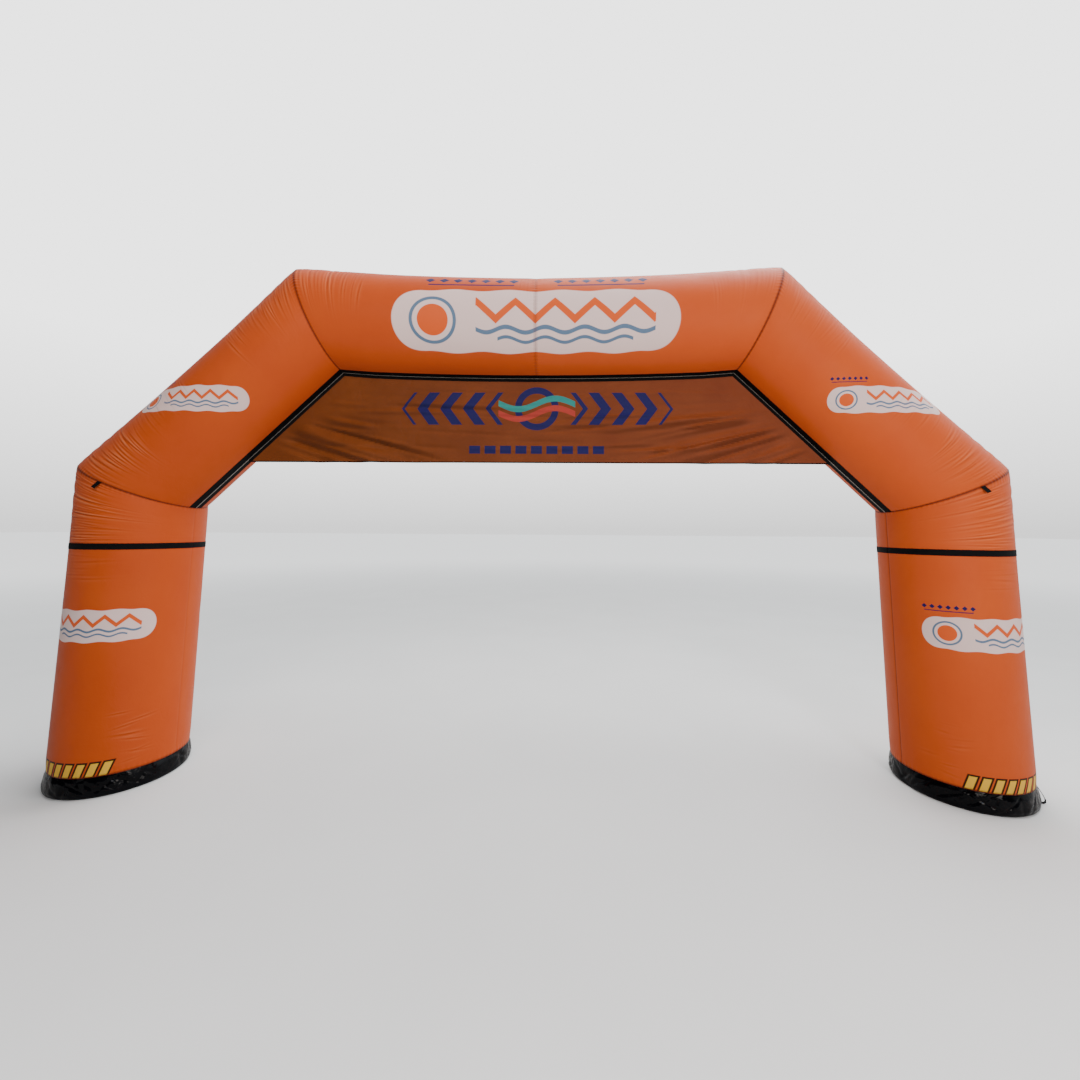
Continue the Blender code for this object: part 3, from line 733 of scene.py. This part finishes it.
def add_skin(section, side_name, side):
    """Skin of one length of tube, over its solid."""
    places, angles = section.rows(), ring_angles()
    grid = section.wall(angles, places, side) * np.array([side, 1, 1])
    arcs = TUBE_RADIUS * np.append(angles, math.pi)
    flat = np.stack(np.broadcast_arrays(places[:, None], arcs[None, :]), axis=-1)
    piece = surface(f"skin_{section.name}_{side_name}", grid, flat, around=True, capped=True, flip=side > 0)
    # Crease depth stored on the skin, for the painted shade in the creases and the painted highlight on
    # their ridges
    shade = section.crease_depth(angles[None, :], places[:, None], side) / CREASE_SHADE_DEPTH
    layer = piece.data.attributes.new("crease", "FLOAT", "POINT")
    layer.data.foreach_set("value", np.append(np.clip(shade, -1, 1).ravel(), [0.0, 0.0]))
    return dress(piece, nylon(section, side, side_name), "tube_nylon", f"{section.name}_{side_name}")


def skirt_radius(angles, share, side):
    """Skirt profile plus its slack and small pleats, which die out at both edges."""
    profile = np.array(SKIRT_PROFILE)
    stand_out = np.interp(share, profile[:, 0], profile[:, 1])
    slack = sum(depth * np.sin(waves * angles + turn) for depth, waves, turn in SKIRT_SLACK)
    rng = np.random.default_rng(PLEAT_SEED + side)
    pleats = np.zeros(np.broadcast(angles, share).shape)
    for _ in range(54):
        middle, width = rng.uniform(-math.pi, math.pi), rng.uniform(0.016, 0.060)
        depth, slant = rng.uniform(0.001, 0.006), rng.uniform(-0.7, 0.7)
        off = (angles - middle - slant * (share - 0.5) + math.pi) % (2 * math.pi) - math.pi
        pleats = pleats - depth * np.exp(-(off / width) ** 2)
    return TUBE_RADIUS + stand_out + (slack + pleats) * np.sin(math.pi * share)


def add_foot(side_name, side):
    """Vinyl foot: rings of the skirt's profile from the ground up, closed by its floor and its top."""
    shares = np.linspace(0, 1, 31)[:, None]
    angles = np.linspace(-math.pi, math.pi, 289)[:-1][None, :]
    radius = skirt_radius(angles, shares, side)
    height = np.minimum(shares * SKIRT_HEIGHT, SKIRT_HEIGHT - GAP / 2) + 0 * angles
    grid = np.stack([side * (LEG_X + radius * np.cos(angles)), -radius * np.sin(angles), height], axis=-1)
    arcs = TUBE_RADIUS * np.append(angles, math.pi)
    flat = np.stack(np.broadcast_arrays(shares * SKIRT_HEIGHT, arcs[None, :]), axis=-1)
    piece = surface(f"foot_{side_name}", grid, flat, around=True, capped=True, flip=side > 0)
    return dress(piece, skirt_vinyl, "skirt_vinyl", f"skirt_{side_name}")


def add_band(side_name, side):
    """Webbing round the leg: its cross-section, a flat oval, carried once round the skin."""
    low, high = BAND_TOP - SKIRT_HEIGHT - BAND_WIDTH, BAND_TOP - SKIRT_HEIGHT
    angles = ring_angles()
    turn = np.linspace(0, 2 * math.pi, 17)[:-1]
    across = np.sign(np.cos(turn)) * np.abs(np.cos(turn)) ** 0.15
    lift = np.sign(np.sin(turn)) * np.abs(np.sin(turn)) ** 0.5
    rings = [leg.wall(angles, [(low + high) / 2 + a * BAND_WIDTH / 2], side,
                      SKIN_GAP + BAND_THICKNESS / 2 * (1 + b))[0] for a, b in zip(across, lift)]
    grid = np.stack(rings, axis=1) * np.array([side, 1, 1])
    grid = np.concatenate([grid, grid[:1]])
    arcs = TUBE_RADIUS * np.append(angles, math.pi)
    widths = np.append(across, across[0]) * BAND_WIDTH / 2
    flat = np.stack(np.broadcast_arrays(arcs[:, None], widths[None, :]), axis=-1)
    piece = surface(f"band_{side_name}", grid, flat, around=True, flip=side > 0)
    return dress(piece, tape, "webbing", f"leg_band_{side_name}")


def inner_run(side, angles, proud):
    """Points along the inner line from the beam's middle, round the corner and down the shoulder."""
    beam_places = beam.rows()[::-1]
    shoulder_places = shoulder.rows()[::-1]
    shoulder_places[0] = shoulder.length
    return np.concatenate([beam.wall(angles, beam_places, side, proud)[:-1],
                           shoulder.wall(angles, shoulder_places, side, proud)])


def add_zip_tape(side_name, side):
    """Tape folded over the inner line: its cross-section follows the skin out and back."""
    edge = ZIP_TAPE_HALF / TUBE_RADIUS
    angles = np.linspace(INNER - edge, INNER + edge, 13)
    under = inner_run(side, angles, SKIN_GAP)
    over = inner_run(side, angles, SKIN_GAP + ZIP_TAPE_THICKNESS)
    grid = np.concatenate([under, over[:, ::-1]], axis=1) * np.array([side, 1, 1])
    run = np.concatenate([[0], np.cumsum(np.linalg.norm(np.diff(grid[:, 0], axis=0), axis=1))])
    arcs = TUBE_RADIUS * (angles - INNER)
    arcs = np.concatenate([arcs, arcs[::-1], arcs[:1]])
    flat = np.stack(np.broadcast_arrays(run[:, None], arcs[None, :]), axis=-1)
    piece = surface(f"tape_{side_name}", grid, flat, around=True, capped=True, flip=side > 0)
    return dress(piece, tape, "webbing", f"zip_tape_{side_name}")


def add_chain(side_name, side):
    """Closed zip chain along the tape: a low rounded bar."""
    low = SKIN_GAP + ZIP_TAPE_THICKNESS + GAP
    turn = np.linspace(0, 2 * math.pi, 13)[:-1]
    lines = []
    for t in turn:
        lift = low + CHAIN_THICKNESS / 2 * (1 + math.sin(t))
        across = CHAIN_WIDTH / 2 * np.sign(math.cos(t)) * abs(math.cos(t)) ** 0.5
        lines.append(inner_run(side, [INNER], lift)[:, 0] + across * FRONT)
    grid = np.stack(lines, axis=1) * np.array([side, 1, 1])
    run = np.concatenate([[0], np.cumsum(np.linalg.norm(np.diff(grid[:, 0], axis=0), axis=1))])
    wound = 0.002 * np.append(turn, 2 * math.pi)
    flat = np.stack(np.broadcast_arrays(run[:, None], wound[None, :]), axis=-1)
    piece = surface(f"chain_{side_name}", grid, flat, around=True, capped=True, flip=side < 0)
    return dress(piece, chain, "zip_coil", f"zip_coil_{side_name}")


def heading_low():
    return SKIN_GAP + ZIP_TAPE_THICKNESS + GAP + CHAIN_THICKNESS + GAP


def inner_place(height, proud):
    """Place on the shoulder where its inner line, stood off by proud, is at the given height."""
    top = shoulder.wall(INNER, shoulder.length, 1, proud)[0, 0]
    return shoulder.length - (top[2] - height) / shoulder.along[2]


def straight_inner(place, proud):
    """Inner line of the shoulder carried straight on, without the lean of the knee's mitre."""
    top = shoulder.wall(INNER, shoulder.length, 1, proud)[0, 0]
    return top + (place - shoulder.length) * shoulder.along


def small_folds():
    """Random small folds: fans from the slanted sides down to the hem, and faint, nearly level ripples."""
    rng = np.random.default_rng(FOLD_SEED)
    rows = []
    for side in (-1, 1):
        for _ in range(24):
            share = rng.uniform(0, 1)
            x0, z0 = side * (2.45 - 0.75 * share), 2.80 + 0.35 * share
            run = rng.uniform(0.35, 1.10)
            x1, z1 = x0 - side * run, z0 - run * (0.40 - 0.28 * share) * rng.uniform(0.85, 1.15)
            rows.append((x0, z0, x1, z1, rng.uniform(-0.018, 0.018), rng.uniform(0.014, 0.030)))
        for _ in range(24):
            x0, z0 = side * rng.uniform(0.3, 2.1), rng.uniform(2.80, 3.35)
            x1, z1 = x0 - side * rng.uniform(0.3, 0.9), z0 + rng.uniform(-0.05, 0.01)
            rows.append((x0, z0, x1, z1, rng.uniform(-0.010, 0.010), rng.uniform(0.012, 0.024)))
    return rows


def fold_depth(x, z, sides):
    """Banner's depth out of its plane: each fold is a soft ridge along a line that fades at its ends."""
    depth = np.zeros_like(x)
    for x0, z0, x1, z1, height, half_width in FOLDS + small_folds():
        length = math.hypot(x1 - x0, z1 - z0)
        run = ((x - x0) * (x1 - x0) + (z - z0) * (z1 - z0)) / length
        off = ((z - z0) * (x1 - x0) - (x - x0) * (z1 - z0)) / length
        middle = (2 * run / length - 1) / 1.15
        depth += height * np.exp(-(off / half_width) ** 2) * np.exp(-middle ** 4)
    return depth * sides


def banner_points(shares):
    """Grid over the banner (columns, rows, 3): columns start at the beam's underside and fan to the hem."""
    proud = heading_low() + HEADING_WIDTH + GAP
    places = np.linspace(beam.length, 0, 190)
    half_top = beam.wall(INNER, places, 1, proud)[:, 0]
    half_top[0, 0] = 0.0
    corner = half_top[-1]
    top = np.vstack([half_top[:0:-1] * np.array([-1, 1, 1]), half_top])
    hem_corner = straight_inner(inner_place(HEM_HEIGHT, proud), proud)
    share = np.asarray(shares, float)[None, :]
    x_top, z_top = top[:, 0][:, None], top[:, 2][:, None]
    x = x_top * (1 + (hem_corner[0] / corner[0] - 1) * share)
    z = z_top + (HEM_HEIGHT - z_top) * share
    across = np.clip((1 - np.abs(x_top) / corner[0]) / 0.08, 0, 1)
    y = fold_depth(x, z, across * np.clip(share / 0.3, 0, 1))
    return np.stack([x, y, z], axis=-1)


def sheet_piece(name, grid):
    """Thin cloth: the grid moved half its thickness to the front and to the back, closed at its rim."""
    half = CLOTH_THICKNESS / 2 * FRONT
    loops = np.concatenate([grid + half, grid[:, ::-1] - half], axis=1)
    closed = np.concatenate([loops, loops[:, :1]], axis=1)
    piece = surface(name, loops, closed[..., [0, 2]], around=True, flip=True)
    mesh = piece.data
    columns, rows = grid.shape[:2]
    corners = np.arange(rows - 1)
    ends = []
    for start, turned in ((0, True), ((columns - 1) * 2 * rows, False)):
        quads = start + np.stack([corners, corners + 1, 2 * rows - 2 - corners, 2 * rows - 1 - corners], 1)
        ends += (quads[:, ::-1] if turned else quads).tolist()
    points = [tuple(v.co) for v in mesh.vertices]
    faces = [tuple(p.vertices) for p in mesh.polygons] + ends
    uv = np.zeros(len(mesh.loops) * 2)
    mesh.uv_layers[0].data.foreach_get("uv", uv)
    mesh.clear_geometry()
    mesh.from_pydata(points, [], faces)
    layer = mesh.uv_layers.get("Cloth") or mesh.uv_layers.new(name="Cloth")
    flat = np.array(points)[:, [0, 2]]
    layer.data.foreach_set("uv", np.concatenate([uv, flat[np.array(ends).ravel()].ravel()]))
    mesh.shade_smooth()
    mesh.set_sharp_from_angle(angle=math.radians(40))
    # Slope of the cloth across its folds, stored as the fold attribute from which the banner's painted
    # light and shade are drawn
    slope = np.gradient(grid[..., 1], axis=1) / np.gradient(grid[..., 2], axis=1)
    slope = np.clip(np.concatenate([slope, slope[:, ::-1]], axis=1) / FOLD_SLOPE, -1, 1)
    mesh.attributes.new("fold", "FLOAT", "POINT").data.foreach_set("value", slope.ravel())
    return piece


def camera():
    """Camera fitted to the outline: a wide lens 4.2 m in front of the arch, tilted up by 5.7 degrees."""
    focal, centre_x, centre_y, size = 465.7, 548.7, 481.8, 1080
    pitch, roll, yaw = 0.0999, 0.0069, -0.0185
    ahead = np.array([math.sin(yaw) * math.cos(pitch), math.cos(yaw) * math.cos(pitch), math.sin(pitch)])
    right = np.array([math.cos(yaw), -math.sin(yaw), 0.0])
    up = np.cross(right, ahead)
    right, up = math.cos(roll) * right + math.sin(roll) * up, math.cos(roll) * up - math.sin(roll) * right
    data = bpy.data.cameras.new("camera")
    data.sensor_width = 36.0
    data.lens = focal / size * 36.0
    data.shift_x = (size / 2 - centre_x) / size
    data.shift_y = (centre_y - size / 2) / size
    data.clip_end = 200.0
    eye = bpy.data.objects.new("camera", data)
    matrix = np.eye(4)
    matrix[:3, 0], matrix[:3, 1], matrix[:3, 2] = right, up, -ahead
    matrix[:3, 3] = (0.19, -4.158, 2.084)
    bpy.context.scene.collection.objects.link(eye)
    bpy.context.scene.camera = eye
    eye.matrix_world = mathutils.Matrix(matrix.tolist())


def lamp(name, place, target, size, power, tint):
    """Soft square lamp that looks from its place at the target."""
    data = bpy.data.lights.new(name, "AREA")
    data.size, data.energy, data.color = size, power, colour(tint)[:3]
    lit = bpy.data.objects.new(name, data)
    lit.location = place
    toward = mathutils.Vector(target) - mathutils.Vector(place)
    lit.rotation_euler = toward.to_track_quat("-Z", "Y").to_euler()
    bpy.context.scene.collection.objects.link(lit)


def studio():
    """Pale floor and soft light: a sky that darkens downwards and towards the front left, and a near-white
    backdrop.

    The floor glows more with distance, so that it runs into the backdrop without an edge, and returns
    less light to the arch than it shows.
    """
    world = bpy.data.worlds.new("studio")
    world.use_nodes = True
    tree = world.node_tree
    ground = tree.nodes["Background"]
    direction = add(tree, "TexCoord").outputs["Generated"]
    toward = add(tree, "SeparateXYZ", {0: direction})
    level = add(tree, "MapRange", {0: toward.outputs[2], 1: -0.2, 2: 1.0, 3: 0.20, 4: 0.90})
    sunward = add(tree, "VectorMath", {0: direction, 1: (0.58, 0.81, 0.0)}, operation="DOT_PRODUCT")
    sideways = add(tree, "MapRange", {0: sunward.outputs["Value"], 1: -0.4, 2: 1.0, 3: 0.10, 4: 4.4})
    level = add(tree, "Math", {0: level, 1: sideways}, operation="MULTIPLY")
    tree.links.new(level.outputs[0], ground.inputs[1])
    ground.inputs[0].default_value = colour("F2F6FA")
    rise = add(tree, "MapRange", {0: toward.outputs[2], 1: 0.0, 2: 0.30, 3: 1.32, 4: 3.0})
    backdrop = add(tree, "Background", {0: colour("FFFFFF"), 1: rise})
    seen = add(tree, "LightPath")
    mix = add(tree, "MixShader", {0: seen.outputs["Is Camera Ray"], 1: ground, 2: backdrop})
    tree.links.new(mix.outputs[0], tree.nodes["World Output"].inputs[0])
    bpy.context.scene.world = world
    half = 150.0
    corners = np.array([[[-half, -half, 0], [half, -half, 0]], [[-half, half, 0], [half, half, 0]]])
    floor = surface("floor", corners - np.array([0, 0, 0.0005]), corners[..., :2])
    finish, tree, shader = new_material("pale_floor", Roughness=0.9)
    noise = add(tree, "TexNoise", {"Vector": add(tree, "TexCoord").outputs["Object"], "Scale": 0.8})
    base = paint(tree, colour("DCDCDA"), noise, "E6E6E4")
    seen = add(tree, "LightPath").outputs["Is Camera Ray"]
    base = paint(tree, colour("B0B0AE"), seen, base)
    tree.links.new(base.outputs[2], shader.inputs["Base Color"])
    reach = add(tree, "VectorMath", {0: add(tree, "TexCoord").outputs["Object"]}, operation="LENGTH")
    glow = add(tree, "MapRange", {0: reach.outputs["Value"], 1: 5.0, 2: 30.0, 3: 0.0, 4: 0.75},
               interpolation_type="SMOOTHSTEP")
    glow = add(tree, "Math", {0: glow, 1: seen}, operation="MULTIPLY")
    shader.inputs["Emission Color"].default_value = colour("FFFFFF")
    tree.links.new(glow.outputs[0], shader.inputs["Emission Strength"])
    floor.data.materials.append(finish)
    lamp("sky", (3.5, 1.5, 13.0), (0, 0, 2.5), 9.0, 1500, "FFFFFF")
    lamp("front_left", (-1.3, -5.0, 4.8), (-1.0, 0, 3.8), 2.0, 135, "FFF4EA")
    lamp("front_right", (3.4, -5.4, 2.8), (2.8, 0, 2.4), 2.5, 165, "FFF4EA")
    lamp("glint", (3.0, -9.0, 7.0), (0, 0, 0.2), 0.9, 200, "CFE2FF")


camera()
studio()
for side_name, side in SIDES:
    for section in (leg, shoulder, beam):
        add_skin(section, side_name, side)
    add_foot(side_name, side)
    add_band(side_name, side)
    add_zip_tape(side_name, side)
    add_chain(side_name, side)

drop = BEAM_HEIGHT - TUBE_RADIUS - HEM_HEIGHT
banner_grid = banner_points(np.linspace(0, 1, 61))
banner = dress(sheet_piece("banner_sheet", banner_grid), banner_cloth, "banner_cloth", "banner")
hem_grid = banner_points([1 + GAP / drop, 1 + HEM_WIDTH / drop])
hem_grid[..., 1] = banner_grid[:, -1:, 1]
hem = dress(sheet_piece("hem_tape", hem_grid), tape, "webbing", "banner_hem")
for name in ("banner_heading_right", "banner_heading_left", "tab_right", "tab_left", "peg_loop_right"):
    node = bpy.data.objects[name]
    node.data.materials.clear()
    node.data.materials.append(strap)
